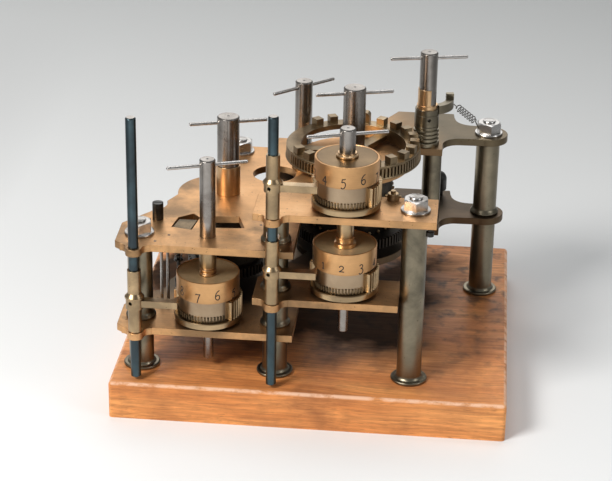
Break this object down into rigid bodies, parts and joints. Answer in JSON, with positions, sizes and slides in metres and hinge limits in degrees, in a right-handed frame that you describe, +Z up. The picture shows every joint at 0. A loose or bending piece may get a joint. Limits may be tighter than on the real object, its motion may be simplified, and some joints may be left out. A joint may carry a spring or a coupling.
{
  "type": "difference engine fragment",
  "caption": "Calculating engine fragment: brass plates on pillars with geared figure wheels, a crown wheel, cross-bar axles and arm rods on a wooden board",
  "frame": {"origin": "middle of the base board's underside", "axes": "+X runs to the right along the board's long front edge, +Y to the back, +Z up; the arm rods stand at the front (-Y)"},
  "size_m": [0.343, 0.321, 0.2838],
  "materials": {
    "board_wood": "varnished hardwood, orange brown, worn at the edges",
    "plate_brass": "aged brass, satin, browned at the edges",
    "pillar_bronze": "dark olive bronze, turned and satin",
    "nut_steel": "polished steel",
    "axle_steel": "turned steel, grey brown, satin",
    "bar_steel": "polished steel",
    "rod_steel": "blued steel",
    "sleeve_brass": "turned brass, satin",
    "wheel_brass": "turned brass, pinkish, with a grey band",
    "gear_brass": "aged brass with cut teeth",
    "spring_steel": "drawn steel wire",
    "dark_steel": "dark oiled steel"
  },
  "bodies": {
    "frame": {"base_board": "board_wood", "lower_left_plate": "plate_brass", "upper_left_plate": "plate_brass", "lower_right_plate": "plate_brass", "upper_right_plate": "plate_brass", "pillar_left": "pillar_bronze", "pillar_middle": "pillar_bronze", "pillar_right": "pillar_bronze", "pillar_corner": "pillar_bronze", "pillar_back": "pillar_bronze", "back_column": "pillar_bronze", "pillar_nuts": "nut_steel", "screw_post": "dark_steel", "detent_block": "gear_brass", "stop_bush": "sleeve_brass", "corner_screw": "dark_steel", "roller_post": "dark_steel", "guide_rods": "bar_steel", "plunger_stud": "dark_steel", "plunger_spring": "spring_steel", "left_bearing_sleeve": "sleeve_brass", "back_bearing_boss": "sleeve_brass", "tall_bearing_stack": "pillar_bronze", "idler_studs": "dark_steel", "return_spring": "spring_steel"},
    "axle_left_front_body": {"axle_left_front": "axle_steel", "bar_left_front": "bar_steel", "sleeve_left_front": "sleeve_brass", "collar_left_front": "sleeve_brass"},
    "figure_wheel_left_body": {"figure_wheel_left": "wheel_brass"},
    "axle_left_back_body": {"axle_left_back": "axle_steel", "bar_left_back": "bar_steel", "adding_wheel_left": "gear_brass"},
    "idler_left_body": {"idler_left": "gear_brass"},
    "axle_right_front_body": {"axle_right_front": "axle_steel", "bar_right_front": "bar_steel", "sleeve_right_front": "sleeve_brass", "collars_right_front": "sleeve_brass"},
    "figure_wheel_upper_body": {"figure_wheel_upper": "wheel_brass"},
    "figure_wheel_lower_body": {"figure_wheel_lower": "wheel_brass"},
    "idler_right_body": {"idler_right": "gear_brass"},
    "pinion_upper_body": {"pinion_upper": "gear_brass"},
    "axle_middle_body": {"axle_middle": "axle_steel", "bar_middle": "bar_steel", "crown_wheel": "gear_brass", "adding_wheel_right": "gear_brass"},
    "axle_back_body": {"axle_back": "axle_steel", "bar_back": "bar_steel", "back_cam": "gear_brass"},
    "axle_tall_body": {"axle_tall": "axle_steel", "bar_tall": "bar_steel", "tall_hub": "pillar_bronze", "tall_half_sleeve": "sleeve_brass", "tall_lever": "dark_steel"},
    "rod_left_body": {"rod_left": "rod_steel", "rod_left_sleeves": "sleeve_brass", "arm_left": "sleeve_brass"},
    "rod_middle_body": {"rod_middle": "rod_steel", "rod_middle_sleeves": "sleeve_brass", "arms_middle": "sleeve_brass"}
  },
  "joints": [
    {"name": "left_front_axle_spin", "type": "hinge", "parent": "frame", "child": "axle_left_front_body", "pos_m": [-0.0895, -0.12, 0.16], "axis": [0, 0, 1], "continuous": true},
    {"name": "left_wheel_spin", "type": "hinge", "parent": "frame", "child": "figure_wheel_left_body", "pos_m": [-0.0895, -0.12, 0.1], "axis": [0, 0, 1], "continuous": true},
    {"name": "left_back_axle_spin", "type": "hinge", "parent": "frame", "child": "axle_left_back_body", "pos_m": [-0.08424, -0.02585, 0.16], "axis": [0, 0, 1], "continuous": true},
    {"name": "left_idler_spin", "type": "hinge", "parent": "frame", "child": "idler_left_body", "pos_m": [-0.08706, -0.07637, 0.097], "axis": [0, 0, 1], "continuous": true},
    {"name": "right_front_axle_spin", "type": "hinge", "parent": "frame", "child": "axle_right_front_body", "pos_m": [0.0275, -0.12, 0.19], "axis": [0, 0, 1], "continuous": true},
    {"name": "upper_wheel_spin", "type": "hinge", "parent": "frame", "child": "figure_wheel_upper_body", "pos_m": [0.0275, -0.12, 0.215], "axis": [0, 0, 1], "continuous": true},
    {"name": "lower_wheel_spin", "type": "hinge", "parent": "frame", "child": "figure_wheel_lower_body", "pos_m": [0.0275, -0.12, 0.14], "axis": [0, 0, 1], "continuous": true},
    {"name": "right_idler_spin", "type": "hinge", "parent": "frame", "child": "idler_right_body", "pos_m": [0.02674, -0.07631, 0.131], "axis": [0, 0, 1], "continuous": true},
    {"name": "upper_pinion_spin", "type": "hinge", "parent": "frame", "child": "pinion_upper_body", "pos_m": [0.02682, -0.08091, 0.204], "axis": [0, 0, 1], "continuous": true},
    {"name": "middle_axle_turn", "type": "hinge", "parent": "frame", "child": "axle_middle_body", "pos_m": [0.02561, -0.01192, 0.2], "axis": [0, 0, 1], "range_deg": [-180, 40]},
    {"name": "back_axle_spin", "type": "hinge", "parent": "frame", "child": "axle_back_body", "pos_m": [-0.024, 0.042, 0.16], "axis": [0, 0, 1], "continuous": true},
    {"name": "tall_axle_turn", "type": "hinge", "parent": "frame", "child": "axle_tall_body", "pos_m": [0.08825, 0.03033, 0.21], "axis": [0, 0, 1], "range_deg": [-10, 15], "stiffness_Nm_per_rad": 0.05, "deforming": ["return_spring"]},
    {"name": "left_rod_turn", "type": "hinge", "parent": "frame", "child": "rod_left_body", "pos_m": [-0.148, -0.1515, 0.12], "axis": [0, 0, 1], "range_deg": [-35, 0]},
    {"name": "middle_rod_turn", "type": "hinge", "parent": "frame", "child": "rod_middle_body", "pos_m": [-0.031, -0.1515, 0.15], "axis": [0, 0, 1], "range_deg": [-35, 0]}
  ],
  "couplings": [
    {"joint": "left_idler_spin", "follows": "left_back_axle_spin", "ratio": -2.3846},
    {"joint": "left_wheel_spin", "follows": "left_back_axle_spin", "ratio": 1.24},
    {"joint": "upper_pinion_spin", "follows": "middle_axle_turn", "ratio": -5.6667},
    {"joint": "upper_wheel_spin", "follows": "middle_axle_turn", "ratio": 2.04},
    {"joint": "right_idler_spin", "follows": "middle_axle_turn", "ratio": -3.3077},
    {"joint": "lower_wheel_spin", "follows": "middle_axle_turn", "ratio": 1.72}
  ]
}
